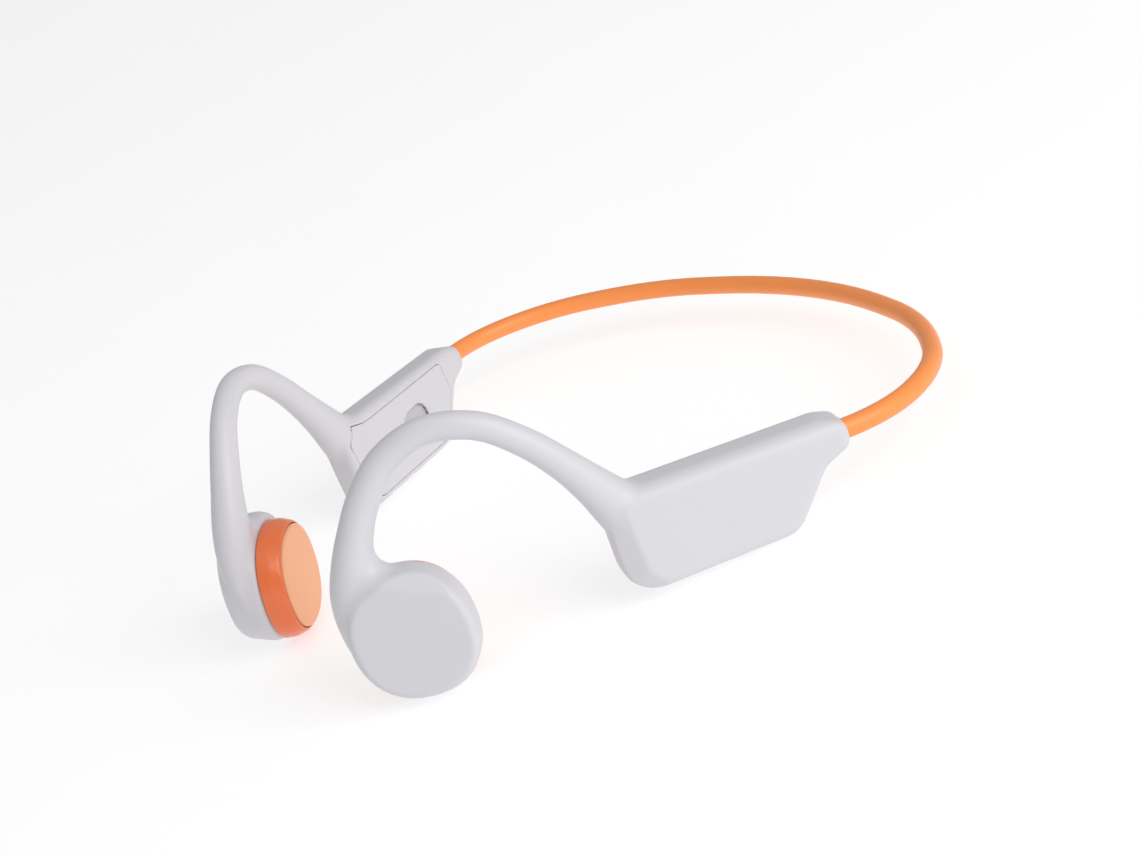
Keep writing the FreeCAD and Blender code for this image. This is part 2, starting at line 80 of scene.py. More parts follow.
# Ear hook: along, up, in, width in its own plane, thickness.
HOOK = [
    (-3.0, 6.0, -2.6, 11.0, 4.6),
    (-5.8, 11.5, -3.2, 12.0, 6.0),
    (-6.6, 17.0, -3.5, 11.4, 7.2),
    (-6.3, 23.0, -3.0, 10.4, 7.8),
    (-4.9, 28.6, -2.0, 8.3, 7.6),
    (-2.2, 34.2, -0.9, 6.9, 6.6),
    (1.9, 40.1, 0.2, 6.3, 5.9),
    (8.2, 45.8, 1.0, 5.8, 5.4),
    (17.0, 48.5, 1.1, 5.5, 5.2),
    (26.2, 45.9, 0.7, 5.5, 5.2),
    (33.1, 39.4, 0.3, 5.7, 5.4),
    (37.9, 32.4, 0.0, 6.3, 5.9),
    (41.4, 26.0, 0.0, 7.8, 7.0),
    (44.3, 20.0, 0.0, 10.0, 8.4),
    (47.0, 14.5, 0.0, 11.0, 8.8),
]
HOOK_STEPS = 5

# Pod's side outline: along, up, corner radius. It reaches as far either side of its mid plane.
POD_HALF = 4.5
POD = [
    (40.6, 20.4, 5.0),
    (39.7, 3.2, 6.0),
    (73.4, 0.4, 5.0),
    (82.4, 10.2, 2.0),
    (88.5, 12.2, 2.3),
    (88.8, 17.1, 2.3),
    (84.6, 18.9, 4.0),
    (46.0, 23.4, 3.0),
]

# Rounding of the pod's rims, and of the outer edge of its top, which is cut at three leans.
POD_EDGE = 2.1
POD_EDGE_STEPS = 5
POD_TOP_ROUND = 3.4
POD_TOP_LEANS = (22.5, 45.0, 67.5)

# Flats that thin the pod's outer side towards its front: a point on each, and its inward normal.
POD_FRONT_CUTS = [((44.3, 10.0), (0.5, 0.0, 0.866)), ((44.9, 6.4), (0.4, 0.32, 0.86))]

# Moulding the parts into one: size of the grain, how far hollows are filled, smoothing steps.
COARSE_GRAIN = 0.35
FINE_GRAIN = 0.32
HOLLOW_FILL = 2.8
FILL_SMOOTHING = 12
FINAL_SMOOTHING = 8

# Inner cover's outline, the same way round, and the heights above the pod's mid plane of the
# arm's pocket, the cover that lies in it, and the seal under the gap between the two.
COVER = [
    (44.6, 22.3, 0.5),
    (43.7, 20.6, 1.5),
    (41.7, 19.0, 1.5),
    (42.0, 4.4, 4.0),
    (72.6, 1.9, 3.5),
    (79.6, 10.6, 2.0),
    (79.4, 17.8, 1.2),
    (51.5, 20.5, 4.0),
    (48.2, 21.0, 2.0),
]
POCKET_HEIGHTS = (2.0, 8.0)
COVER_HEIGHTS = (2.3, 8.0)
SEAL_HEIGHTS = (1.9, 4.1)
SEAL_INSET = 0.01

# Transducer: radius, height out from the cup's seam, corner radius.
CUP = [
    (0.0, 0.0, 0.0),
    (12.3, 0.0, 0.3),
    (12.95, 2.2, 2.5),
    (12.5, 5.8, 1.0),
    (12.3, 7.5, 0.6),
    (11.4, 9.0, 0.5),
    (0.0, 9.0, 0.0),
]

# The cup leans back as it rises, and a sloping flat cuts the top of its outer face.
CUP_SHIFT = (0.75, 0.4, 0.0)
CUP_SHEAR = 0.22
CUP_FLAT_REACH = 9.2
CUP_FLAT_SLOPE = 34.0
CUP_FLAT_TURN = 22.8

# A power of 2 is a circle; a little more fills out its diagonals.
ROUND_POWER = 2.25
ROUND_STEPS = 128

# Bezel ring and contact pad, measured as the cup is, on the other side of the seam.
BEZEL = [
    (10.4, 0.0, 0.0),
    (11.85, -0.12, 0.4),
    (11.75, -2.5, 3.0),
    (10.9, -4.95, 1.1),
    (10.45, -4.95, 0.1),
    (10.45, -2.7, 0.0),
]
PAD = [
    (0.0, -2.6, 0.0),
    (10.2, -2.6, 0.0),
    (10.25, -5.65, 0.5),
    (0.0, -5.8, 0.0),
]

# Neckband: where its end lies in the pod, where it leaves the pod, the corners of its route as
# (across, back from the arm's start, bend radius), its fall, and its height at the pod.
BAND_ENTRY = 82.4
BAND_MOUTH = 88.3
BAND_CORNERS = [(71.4, 85.9, 25.5), (65.2, 105.1, 35.5), (44.6, 121.7, 63.0), (13.8, 130.0, 104.0)]
BAND_SLOPE = 6.1
BAND_HEIGHT = 14.2
BAND_RADIUS = 2.0
BAND_SIDES = 32
BAND_TURN_STEP = 3.0
BAND_LEAST_RUN = 0.3

# Openings of the right pod: places along its underside, and the recess in its inner face.
KEY_PLACES = {"volume_down_key": 48.5, "power_key": 55.2, "volume_up_key": 61.9}
KEY_SLOT = (5.7, 2.7)
KEY_SLOT_HEIGHTS = (-3.0, 1.3)
HOLES = {"light_hole": (70.3, 0.75), "microphone_hole": (67.0, 0.45)}
HOLE_DEPTH = 4.0
HOLE_MIDDLE = -0.5
PORT_CENTRE = (64.5, 11.0)
PORT_SIZE = (10.0, 7.2)
PORT_HEIGHTS = (-2.4, 2.0)

# ---------------------------------------------------------------- finishes and stage

# Finishes whose colour isn't a setting: CAD material, name, colour, roughness, other values.
FIXED_FINISHES = [
    ("seal_rubber", "seal_rubber", (0.05, 0.045, 0.045), 0.6, {}),
    ("clear_plastic", "light_window", (0.8, 0.82, 0.84), 0.2, {"coat": 0.5}),
    ("plate_plastic", "plate_plastic", (0.12, 0.12, 0.13), 0.5, {}),
    ("copper_coil", "copper_coil", (0.72, 0.32, 0.14), 0.3, {"grain": 0.1, "relief": 0.03, "metallic": 1}),
    ("spring_steel", "spring_steel", (0.6, 0.61, 0.62), 0.28, {"metallic": 1}),
    ("yoke_steel", "yoke_steel", (0.5, 0.5, 0.51), 0.4, {"metallic": 1}),
    ("magnet", "nickel_magnet", (0.62, 0.6, 0.56), 0.2, {"metallic": 1}),
    ("spring_wire", "spring_wire", (0.45, 0.45, 0.46), 0.3, {"metallic": 1}),
    ("lead_jacket", "lead_jacket", (0.05, 0.05, 0.055), 0.5, {}),
    ("circuit_board", "circuit_board", (0.02, 0.14, 0.06), 0.35, {"grain": 0.6, "relief": 0.02}),
    ("shield_steel", "shield_steel", (0.66, 0.66, 0.67), 0.32, {"metallic": 1}),
    ("switch_body", "switch_body", (0.08, 0.08, 0.085), 0.5, {}),
    ("gold_pins", "gold_pins", (0.9, 0.63, 0.25), 0.22, {"metallic": 1}),
    (
        "battery_pouch", "battery_pouch", (0.55, 0.56, 0.58), 0.35,
        {"grain": 1.5, "relief": 0.05, "metallic": 0.8},
    ),
    ("foam", "foam", (0.08, 0.08, 0.08), 0.9, {"grain": 0.3, "relief": 0.15}),
]
DRIFT_SIZE = 14.0
WEAR_SIZE = 5.0
WEAR_SPAN = 0.12
COAT_ROUGHNESS = 0.25

# Soft square lights, in metres and watts: name, place, side, power. They look at one point.
LAMPS = [
    ("key_light", (0.85, 0.15, 0.52), 0.7, 5.4),
    ("top_light", (0.3, -0.2, 1.0), 0.8, 1.0),
]
LAMP_AIM = (0, 0, 0.025)
ROOM_LIGHT = 0.45
FLOOR_GLOW = 0.62
FLOOR_PATCH = 60.0
FLOOR_TINTS = ((0.48, 0.48, 0.48, 1), (0.5, 0.5, 0.5, 1))
CAMERA_PLACE = (0.3970, -0.2182, 0.2068)
CAMERA_TURN = (65.24, 21.36, 51.36)
CAMERA_LENS = 75.79
CAMERA_NEAR = 0.01


def heading(degrees):
    """Level direction at an angle from Y towards X."""
    return Vector((math.sin(math.radians(degrees)), math.cos(math.radians(degrees)), 0.0))


def arm_frame(along):
    """Point on the arm's plan line, and its heading there."""
    arc_start = BEND_CENTRE - BEND_REACH
    if along <= arc_start:
        return ARM_START + heading(FRONT_HEADING) * along, FRONT_HEADING
    turn = math.radians(FRONT_HEADING - REAR_HEADING)
    radius = BEND_REACH / math.tan(turn / 2)
    reach = min(along - arc_start, radius * turn)
    angle = FRONT_HEADING - math.degrees(reach / radius)
    chord = 2 * radius * math.sin(reach / radius / 2)
    point = ARM_START + heading(FRONT_HEADING) * arc_start + heading((FRONT_HEADING + angle) / 2) * chord
    return point + heading(angle) * (along - arc_start - reach), angle


def arm_point(along, up, inward=0.0):
    """A place on the arm as a point in the frame, in millimetres."""
    point, angle = arm_frame(along)
    return point + heading(angle - 90) * inward + Vector((0, 0, up))


def place_from(origin, x_axis, y_axis, z_axis):
    """Placement matrix from an origin and three directions."""
    turn = Matrix((x_axis, y_axis, z_axis)).transposed().to_4x4()
    return Matrix.Translation(origin) @ turn


def disc_place():
    """Seam of the transducer: X along the arm, Y up, Z out from the head."""
    out = heading(FRONT_HEADING + 90) * math.cos(math.radians(DISC_LEAN))
    out += Vector((0, 0, math.sin(math.radians(DISC_LEAN))))
    along = heading(FRONT_HEADING)
    return place_from(arm_point(DISC_ALONG, DISC_HEIGHT), along, out.cross(along), out)


def pod_place():
    """Mid plane of the pod: X along the arm from its start, Y up, Z in towards the head."""
    origin = arm_point(POD_MIDDLE, 0) - heading(REAR_HEADING) * POD_MIDDLE
    return place_from(origin, heading(REAR_HEADING), Vector((0, 0, 1)), heading(REAR_HEADING - 90))


# ---------------------------------------------------------------- mesh tools


def new_piece(name, bm):
    """An object whose mesh is the bmesh, which is then let go."""
    mesh = bpy.data.meshes.new(name)
    bm.to_mesh(mesh)
    bm.free()
    piece = bpy.data.objects.new(name, mesh)
    bpy.context.scene.collection.objects.link(piece)
    return piece


def settle(piece, *steps):
    """Puts each (kind, settings) modifier on the piece and bakes them all into its mesh."""
    for kind, settings in steps:
        modifier = piece.modifiers.new(kind.title(), kind)
        for name, value in settings.items():
            setattr(modifier, name, value)
    bpy.context.view_layer.update()
    graph = bpy.context.evaluated_depsgraph_get()
    mesh = bpy.data.meshes.new_from_object(piece.evaluated_get(graph))
    piece.modifiers.clear()
    old = piece.data
    piece.data = mesh
    mesh.name = piece.name
    bpy.data.meshes.remove(old)
    if not mesh.polygons:
        raise RuntimeError(piece.name + " has no faces left")
    return piece


def copy_of(piece, name):
    twin = bpy.data.objects.new(name, piece.data.copy())
    bpy.context.scene.collection.objects.link(twin)
    return twin


def discard(*pieces):
    for piece in pieces:
        mesh = piece.data
        bpy.data.objects.remove(piece)
        bpy.data.meshes.remove(mesh)


def put(bm, place):
    """Moves the whole mesh to its place, with its faces turned outward."""
    bmesh.ops.transform(bm, matrix=place, verts=bm.verts[:])
    bmesh.ops.recalc_face_normals(bm, faces=bm.faces[:])


def outline_face(bm, corners):
    """A flat face through (x, y, radius) corners, each rounded to its radius."""
    verts = [bm.verts.new((x, y, 0)) for x, y, radius in corners]
    bm.faces.new(verts)
    points = [vert.co.copy() for vert in verts]
    for index, (vert, (x, y, radius)) in enumerate(zip(verts, corners)):
        if radius == 0:
            continue
        back = points[index - 1] - points[index]
        ahead = points[(index + 1) % len(points)] - points[index]
        reach = radius * math.tan((math.pi - back.angle(ahead)) / 2)
        bmesh.ops.bevel(
            bm, geom=[vert], offset=reach, offset_type="ABSOLUTE", segments=8, affect="VERTICES",
            **BEVEL,
        )
    return bm.faces[:]


def prism(bm, corners, low, high, place):
    """An outline drawn out from low to high along Z."""
    faces = outline_face(bm, corners)
    bmesh.ops.translate(bm, vec=(0, 0, low), verts=bm.verts[:])
    grown = bmesh.ops.extrude_face_region(bm, geom=faces)
    top = [item for item in grown["geom"] if isinstance(item, bmesh.types.BMVert)]
    bmesh.ops.translate(bm, vec=(0, 0, high - low), verts=top)
    put(bm, place)


def turned(bm, corners, steps=96):
    """A closed outline of (radius, height, rounding) corners, spun once round Z and squared."""
    faces = outline_face(bm, corners)
    bmesh.ops.delete(bm, geom=faces, context="FACES_ONLY")
    bmesh.ops.rotate(bm, matrix=Matrix.Rotation(math.pi / 2, 3, "X"), verts=bm.verts[:])
    on_axis = [edge for edge in bm.edges if all(abs(vert.co.x) < 1e-6 for vert in edge.verts)]
    bmesh.ops.delete(bm, geom=on_axis, context="EDGES")
    bmesh.ops.spin(
        bm, geom=bm.verts[:] + bm.edges[:], cent=(0, 0, 0), axis=(0, 0, 1), angle=math.tau,
        steps=steps, use_merge=True,
    )
    bmesh.ops.remove_doubles(bm, verts=bm.verts[:], dist=1e-4)
    for vert in bm.verts:
        reach = math.hypot(vert.co.x, vert.co.y)
        if reach > 0:
            power = (abs(vert.co.x) / reach) ** ROUND_POWER + (abs(vert.co.y) / reach) ** ROUND_POWER
            spread = power ** (1 / ROUND_POWER)
            vert.co.x /= spread
            vert.co.y /= spread
    bmesh.ops.recalc_face_normals(bm, faces=bm.faces[:])


def sliced(bm, point, normal, keep_front):
    """Cuts a closed shape at a plane, drops one part, and closes the cut."""
    cut = bmesh.ops.bisect_plane(
        bm, geom=bm.verts[:] + bm.edges[:] + bm.faces[:], plane_co=point, plane_no=normal,
        clear_inner=keep_front, clear_outer=not keep_front,
    )
    rim = [item for item in cut["geom_cut"] if isinstance(item, bmesh.types.BMEdge)]
    bmesh.ops.holes_fill(bm, edges=rim)


def swept(bm, places, segments=24):
    """A unit circle carried through a row of placements, with both ends closed."""
    ring = bmesh.ops.create_circle(bm, cap_ends=True, segments=segments, radius=1, matrix=places[0])
    edges = list({edge for vert in ring["verts"] for edge in vert.link_edges})
    for here, there in zip(places, places[1:]):
        grown = bmesh.ops.extrude_edge_only(bm, edges=edges)["geom"]
        verts = [item for item in grown if isinstance(item, bmesh.types.BMVert)]
        edges = [item for item in grown if isinstance(item, bmesh.types.BMEdge)]
        bmesh.ops.transform(bm, matrix=there @ here.inverted(), verts=verts)
    bmesh.ops.contextual_create(bm, geom=edges)
    bmesh.ops.recalc_face_normals(bm, faces=bm.faces[:])


def headings_of(points):
    """The direction of a row of points at each of them."""
    last = len(points) - 1
    return [(points[min(i + 1, last)] - points[max(i - 1, 0)]).normalized() for i in range(last + 1)]


def smooth_row(stations, steps):
    """Values on a smooth line through the stations, with some steps from each to the next."""
    row = [Vector(station) for station in stations]
    row = [row[0] * 2 - row[1]] + row + [row[-1] * 2 - row[-2]]
    values = []
    for a, b, c, d in zip(row, row[1:], row[2:], row[3:]):
        for step in range(steps):
            part = step / steps
            bend = (a * 2 - b * 5 + c * 4 - d) * part**2 + (b * 3 - a - c * 3 + d) * part**3
            values.append(b + ((c - a) * part + bend) / 2)
    values.append(row[-2])
    return values


def finished(piece, side, body, slot, material, *nodes):
    """Mirrors the piece to its side, brings it to metres, and ties it to the CAD frame.

    A piece with no body is left untied to any body.
    """
    bm = bmesh.new()
    bm.from_mesh(piece.data)
    bmesh.ops.scale(bm, vec=(side * MM, MM, MM), verts=bm.verts[:])
    if side < 0:
        bmesh.ops.reverse_faces(bm, faces=bm.faces[:])
    for face in bm.faces:
        face.smooth = True
    bm.to_mesh(piece.data)
    bm.free()
    piece.data.materials.clear()
    piece.data.materials.append(material)
    if body:
        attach(piece, body)
    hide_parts(*nodes)


# ---------------------------------------------------------------- shader tools


class Wire:
    """A shader socket that takes part in sums, so that a pattern reads as a formula."""

    def __init__(self, graph, socket):
        self.graph = graph
        self.socket = socket

    def sum_of(self, operation, first, second):
        return self.graph.node("ShaderNodeMath", {"operation": operation}, {0: first, 1: second})["Value"]

    def __add__(self, other):
        return self.sum_of("ADD", self, other)

    def __mul__(self, other):
        return self.sum_of("MULTIPLY", self, other)

    __radd__ = __add__
    __rmul__ = __mul__


class Outputs:
    """A node's outputs, looked up by name or place."""

    def __init__(self, graph, node):
        self.graph = graph
        self.node = node

    def __getitem__(self, name):
        return Wire(self.graph, self.node.outputs[name])


class Graph:
    """The node tree of one material."""

    def __init__(self, name):
        self.material = bpy.data.materials.new(name)
        self.material.use_nodes = True
        self.tree = self.material.node_tree
        self.shader = self.tree.nodes["Principled BSDF"]

    def node(self, kind, settings=None, inputs=None):
        node = self.tree.nodes.new(kind)
        for name, value in (settings or {}).items():
            setattr(node, name, value)
        for name, value in (inputs or {}).items():
            self.feed(node.inputs[name], value)
        return Outputs(self, node)

    def feed(self, socket, value):
        if isinstance(value, Wire):
            self.tree.links.new(value.socket, socket)
        else:
            socket.default_value = value

    def set(self, **values):
        for name, value in values.items():
            self.feed(self.shader.inputs[name.replace("_", " ")], value)

    def here(self):
        return self.node("ShaderNodeTexCoord")["Object"]

    def noise(self, size, detail=2.0, rough=0.5):
        """Noise from 0 to 1 whose patches are about size millimetres across."""
        inputs = {"Vector": self.here(), "Scale": 1 / (size * MM), "Detail": detail, "Roughness": rough}
        return self.node("ShaderNodeTexNoise", None, inputs)["Fac"]

    def blend(self, factor, first, second):
        """One colour into another."""
        mixer = self.node("ShaderNodeMix", {"data_type": "RGBA"}, {0: factor, 6: first, 7: second})
        return mixer[2]

    def bump(self, height, depth):
        """Relief whose full height is depth millimetres."""
        inputs = {"Height": height, "Distance": depth * MM, "Strength": 1.0}
        return self.node("ShaderNodeBump", None, inputs)["Normal"]


def shade(colour, factor):
    """The colour made lighter or darker."""
    return tuple(channel * factor for channel in colour[:3]) + (1.0,)


def moulded(name, colour, rough, grain=0.25, relief=0.004, spread=0.04, coat=0.0, metallic=0.0):
    """Moulded, sprayed or plated finish: soft colour drift, fine grain and a little handling wear."""
    graph = Graph(name)
    drift = graph.noise(DRIFT_SIZE, 3.0)
    speck = graph.noise(grain, 2.0, 0.6)
    wear = graph.noise(WEAR_SIZE, 4.0, 0.65)
    tint = graph.blend(drift * 0.75 + speck * 0.25, shade(colour, 1 - spread), shade(colour, 1 + spread))
    graph.set(Base_Color=tint, Metallic=metallic, Normal=graph.bump(speck, relief))
    graph.set(Roughness=wear * WEAR_SPAN + (rough - WEAR_SPAN / 2))
    graph.set(Coat_Weight=coat, Coat_Roughness=COAT_ROUGHNESS)
    return graph.material


# ---------------------------------------------------------------- arms


def is_rim(edge):
    """True for an edge round one of the pod's two flat sides."""
    on_side = all(abs(abs(vert.co.z) - POD_HALF) < 1e-3 for vert in edge.verts)
    return on_side and edge.verts[0].co.z * edge.verts[1].co.z > 0


def top_cuts():
    """Flats that round the outer edge of the pod's top."""
    rear, front = POD[-2], POD[-1]
    slope = math.atan((rear[1] - front[1]) / (rear[0] - front[0]))
    cuts = []
    for angle in POD_TOP_LEANS:
        lean = math.radians(angle)
        drop = POD_TOP_ROUND * (1 - (1 - math.sin(lean)) / math.cos(lean))
        inward = (math.sin(slope) * math.cos(lean), -math.cos(slope) * math.cos(lean), math.sin(lean))
        cuts.append(((front[0], front[1] - drop / math.cos(slope)), inward))
    return cuts


def cup_shape():
    """Housing of the transducer."""
    cup = bmesh.new()
    turned(cup, CUP)
    turn = math.radians(CUP_FLAT_TURN)
    slope = math.radians(CUP_FLAT_SLOPE)
    toward = Vector((math.sin(turn), math.cos(turn), 0))
    upward = Vector((0, 0, 1))
    edge = toward * CUP_FLAT_REACH + upward * CUP[-1][1]
    sliced(cup, edge, toward * math.sin(slope) + upward * math.cos(slope), keep_front=False)
    bmesh.ops.translate(cup, vec=CUP_SHIFT, verts=cup.verts[:])
    for vert in cup.verts:
        vert.co.x += vert.co.z * CUP_SHEAR
    put(cup, disc_place())
    return cup


def hook_shape():
    """Ear hook, swept along a smooth line from the cup over the ear to the pod."""
    stations = smooth_row(HOOK, HOOK_STEPS)
    centres = [arm_point(*station[:3]) for station in stations]
    places = []
    for station, centre, run in zip(stations, centres, headings_of(centres)):
        inward = heading(arm_frame(station[0])[1] - 90)
        across = inward.cross(run).normalized()
        size = Matrix.Diagonal((station[3] / 2, station[4] / 2, 1, 1))
        places.append(place_from(centre, across, run.cross(across), run) @ size)
    hook = bmesh.new()
    swept(hook, places)
    return hook


def pod_shape():
    """Electronics pod: the outline drawn out, its rims rounded, its outer side thinned."""
    pod = bmesh.new()
    prism(pod, POD, -POD_HALF, POD_HALF, Matrix.Identity(4))
    rims = [edge for edge in pod.edges if is_rim(edge)]
    bmesh.ops.bevel(
        pod, geom=rims, offset=POD_EDGE, offset_type="OFFSET", segments=POD_EDGE_STEPS,
        affect="EDGES", clamp_overlap=True, **BEVEL,
    )
    for (along, up), inward in POD_FRONT_CUTS + top_cuts():
        sliced(pod, (along, up, -POD_HALF), inward, keep_front=True)
    put(pod, pod_place())
    return pod


def arm_base(name):
    """Cup, ear hook and pod of the left arm as three closed shapes in one mesh."""
    whole = bmesh.new()
    for part in (cup_shape(), hook_shape(), pod_shape()):
        mesh = bpy.data.meshes.new("part")
        part.to_mesh(mesh)
        part.free()
        whole.from_mesh(mesh)
        bpy.data.meshes.remove(mesh)
    return new_piece(name, whole)


def soft_arm(name):
    """The left arm as one smooth moulding, with hollows filled where its parts meet."""
    coarse = ("REMESH", {"mode": "VOXEL", "voxel_size": COARSE_GRAIN})
    fine = ("REMESH", {"mode": "VOXEL", "voxel_size": FINE_GRAIN})
    grow = ("DISPLACE", {"strength": HOLLOW_FILL, "mid_level": 0.0})
    shrink = ("DISPLACE", {"strength": -HOLLOW_FILL, "mid_level": 0.0})
    smooth = ("SMOOTH", {"factor": 0.5, "iterations": FILL_SMOOTHING})
    last_smooth = ("SMOOTH", {"factor": 0.5, "iterations": FINAL_SMOOTHING})
    return settle(arm_base(name), coarse, grow, coarse, smooth, shrink, fine, last_smooth)


def cover_block(name, heights, growth=0.0):
    """A block over the inner cover's outline, grown all round by a margin."""
    bm = bmesh.new()
    prism(bm, COVER, *heights, Matrix.Identity(4))
    for vert in bm.verts:
        sides = [face.normal for face in vert.link_faces if abs(face.normal.z) < 0.5]
        vert.co += sum(sides, Vector()).normalized() * growth
    put(bm, pod_place())
    return new_piece(name, bm)


def boolean(piece, operation, *others):
    """Cuts the others from the piece, or keeps what it shares with them."""
    for other in others:
        settings = {"operation": operation, "object": other, "solver": "MANIFOLD"}
        settle(piece, ("BOOLEAN", settings))
    return piece


def floor_place(along):
    """On the pod's underside: X along it, Z up into the pod."""
    front, rear = POD[1], POD[2]
    slope = (rear[1] - front[1]) / (rear[0] - front[0])
    up = front[1] + slope * (along - front[0])
    turn = Matrix.Rotation(math.atan(slope), 4, "Z")
    stand = Matrix.Rotation(-math.pi / 2, 4, "X")
    return pod_place() @ Matrix.Translation((along, up, 0)) @ turn @ stand


def slot_outline(length, width):
    """Corners of a slot with two straight sides and two round ends."""
    x = length / 2
    y = width / 2
    end = y * 0.999  # a full half width would leave two corners on one spot
    return [(-x, -y, end), (x, -y, end), (x, y, end), (-x, y, end)]


def port_place():
    """Face of the inner cover, at the charging recess: Z in towards the head."""
    return pod_place() @ Matrix.Translation((*PORT_CENTRE, POD_HALF))


def slot_block(name, size, heights, place):
    """A block with two round ends, for cutting a slot."""
    bm = bmesh.new()
    prism(bm, slot_outline(*size), *heights, place)
    return new_piece(name, bm)


def right_openings():
    """Blocks for the openings of the right arm: key slots, light, microphone."""
    blocks = []
    for name, along in KEY_PLACES.items():
        blocks.append(slot_block(name + "_slot", KEY_SLOT, KEY_SLOT_HEIGHTS, floor_place(along)))
    for name, (along, radius) in HOLES.items():
        bm = bmesh.new()
        place = floor_place(along) @ Matrix.Translation((0, 0, HOLE_MIDDLE))
        bmesh.ops.create_cone(
            bm, cap_ends=True, segments=24, radius1=radius, radius2=radius, depth=HOLE_DEPTH,
            matrix=place,
        )
        blocks.append(new_piece(name, bm))
    return blocks


def mould_side(side_name, solid, pocket, lid, openings, recess):
    """One side's arm, inner cover and seal."""
    side = SIDES[side_name]
    arm = boolean(copy_of(solid, side_name + "_arm"), "DIFFERENCE", pocket, *openings)
    cover = boolean(copy_of(solid, side_name + "_cover"), "INTERSECT", lid)
    boolean(cover, "DIFFERENCE", *openings, *recess)
    seal = cover_block(side_name + "_seal", SEAL_HEIGHTS, -SEAL_INSET)
    boolean(seal, "DIFFERENCE", *recess)
    for piece, slot, node in (
        (arm, "shell", "_frame"),
        (cover, "shell_cover", "_inner_cover"),
        (seal, "seal_rubber", "_cover_seal"),
    ):
        finished(piece, side, side_name + "_side", slot, FINISHES[slot], side_name + node)


# ---------------------------------------------------------------- neckband


def round_route(corners, radii):
    """Points along straight runs joined by tangent arcs, one every few degrees of turn."""
    points = [corners[0]]
    for before, corner, after, radius in zip(corners, corners[1:], corners[2:], radii):
        back = (before - corner).normalized()
        ahead = (after - corner).normalized()
        half = back.angle(ahead) / 2
        centre = corner + (back + ahead).normalized() * radius / math.sin(half)
        first = corner + back * radius / math.tan(half) - centre
        last = corner + ahead * radius / math.tan(half) - centre
        steps = max(2, round(math.degrees(first.angle(last)) / BAND_TURN_STEP))
        for step in range(steps + 1):
            spoke = first.normalized().slerp(last.normalized(), step / steps)
            points.append(centre + spoke * radius)
    points.append(corners[-1])
    return [points[0]] + [b for a, b in zip(points, points[1:]) if (b - a).length > BAND_LEAST_RUN]


def band_places():
    """Placements of the sleeve's section, from the left pod round to the right pod."""
    start = arm_point(BAND_ENTRY, 0)
    mouth = arm_point(BAND_MOUTH, 0)
    corners = [start] + [Vector((x, ARM_START.y + back, 0)) for x, back, radius in BAND_CORNERS]
    corners += [Vector((-point.x, point.y, 0)) for point in reversed(corners)]
    radii = [radius for x, back, radius in BAND_CORNERS]
    points = [point.copy() for point in round_route(corners, radii + radii[::-1])]
    fall = math.tan(math.radians(BAND_SLOPE))
    for point in points:
        point.z = BAND_HEIGHT - fall * (point.y - mouth.y)
    size = Matrix.Diagonal((BAND_RADIUS, BAND_RADIUS, 1, 1))
    places = []
    for point, run in zip(points, headings_of(points)):
        side = run.cross(Vector((0, 0, 1))).normalized()
        places.append(place_from(point, side, run.cross(side), run) @ size)
    return places


# ---------------------------------------------------------------- materials

FINISHES = {}


def make_finishes(colours):
    """Fills FINISHES with one finish for each CAD material."""
    shell = tuple(colours.shell)
    bezel = tuple(colours.bezel)
    pad = tuple(colours.pad)
    band = tuple(colours.band)
    for slot, name, colour, rough, values in (
        ("shell", "satin_shell", shell, 0.42, {"spread": 0.012}),
        ("shell_cover", "satin_cover", shell, 0.46, {"spread": 0.012}),
        ("bezel", "bezel_orange", bezel, 0.3, {"spread": 0.03, "coat": 0.3}),
        ("pad_silicone", "pad_silicone", pad, 0.6, {"grain": 0.18, "relief": 0.006, "spread": 0.02}),
        ("band_silicone", "band_silicone", band, 0.4, {"grain": 0.2, "spread": 0.03}),
        ("gland_rubber", "gland_rubber", shade(shell, 0.85), 0.55, {}),
        ("key_plastic", "key_plastic", shell, 0.5, {"spread": 0.02}),
        ("socket_plastic", "socket_plastic", shade(shell, 0.8), 0.5, {}),
        *FIXED_FINISHES,
    ):
        FINISHES[slot] = moulded(name, colour, rough, **values)


# ---------------------------------------------------------------- settings


class HeadphoneColours(bpy.types.PropertyGroup):
    """Colours of the visible finishes."""

    shell: bpy.props.FloatVectorProperty(
        name="Shell", description="Satin shell of both arms", default=(0.64, 0.632, 0.668, 1.0),
        size=4, subtype="COLOR", min=0, max=1,
    )
    band: bpy.props.FloatVectorProperty(
        name="Neckband", description="Silicone sleeve of the neckband", default=(1.0, 0.31, 0.072, 1.0),
        size=4, subtype="COLOR", min=0, max=1,
    )
    bezel: bpy.props.FloatVectorProperty(
        name="Bezel", description="Ring round the contact pad", default=(0.84, 0.17, 0.042, 1.0),
        size=4, subtype="COLOR", min=0, max=1,
    )
    pad: bpy.props.FloatVectorProperty(
        name="Contact pad", description="Silicone pad that rests on the cheekbone",
        default=(0.92, 0.45, 0.25, 1.0), size=4, subtype="COLOR", min=0, max=1,
    )


class HeadphoneSizes(bpy.types.PropertyGroup):
    """Sizes that a user would change."""

    seam: bpy.props.FloatProperty(
        name="Seam", description="Width of the gap round the inner covers", default=0.0002,
        unit="LENGTH", precision=5, min=0.00005, max=0.0005,
    )
    floor: bpy.props.FloatProperty(
        name="Floor", description="Side of the floor", default=4.0, unit="LENGTH", min=1.0, max=20.0
    )


# ---------------------------------------------------------------- operators


class HEADPHONES_OT_finishes(bpy.types.Operator):
    """Make every material and give the CAD nodes theirs"""

    bl_idname = "headphones.finishes"
    bl_label = "Finishes"

    def execute(self, context):
        make_finishes(context.scene.headphone_colours)
        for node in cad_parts.values():
            for place in node.material_slots:
                place.material = FINISHES[place.material.name]
        return {"FINISHED"}


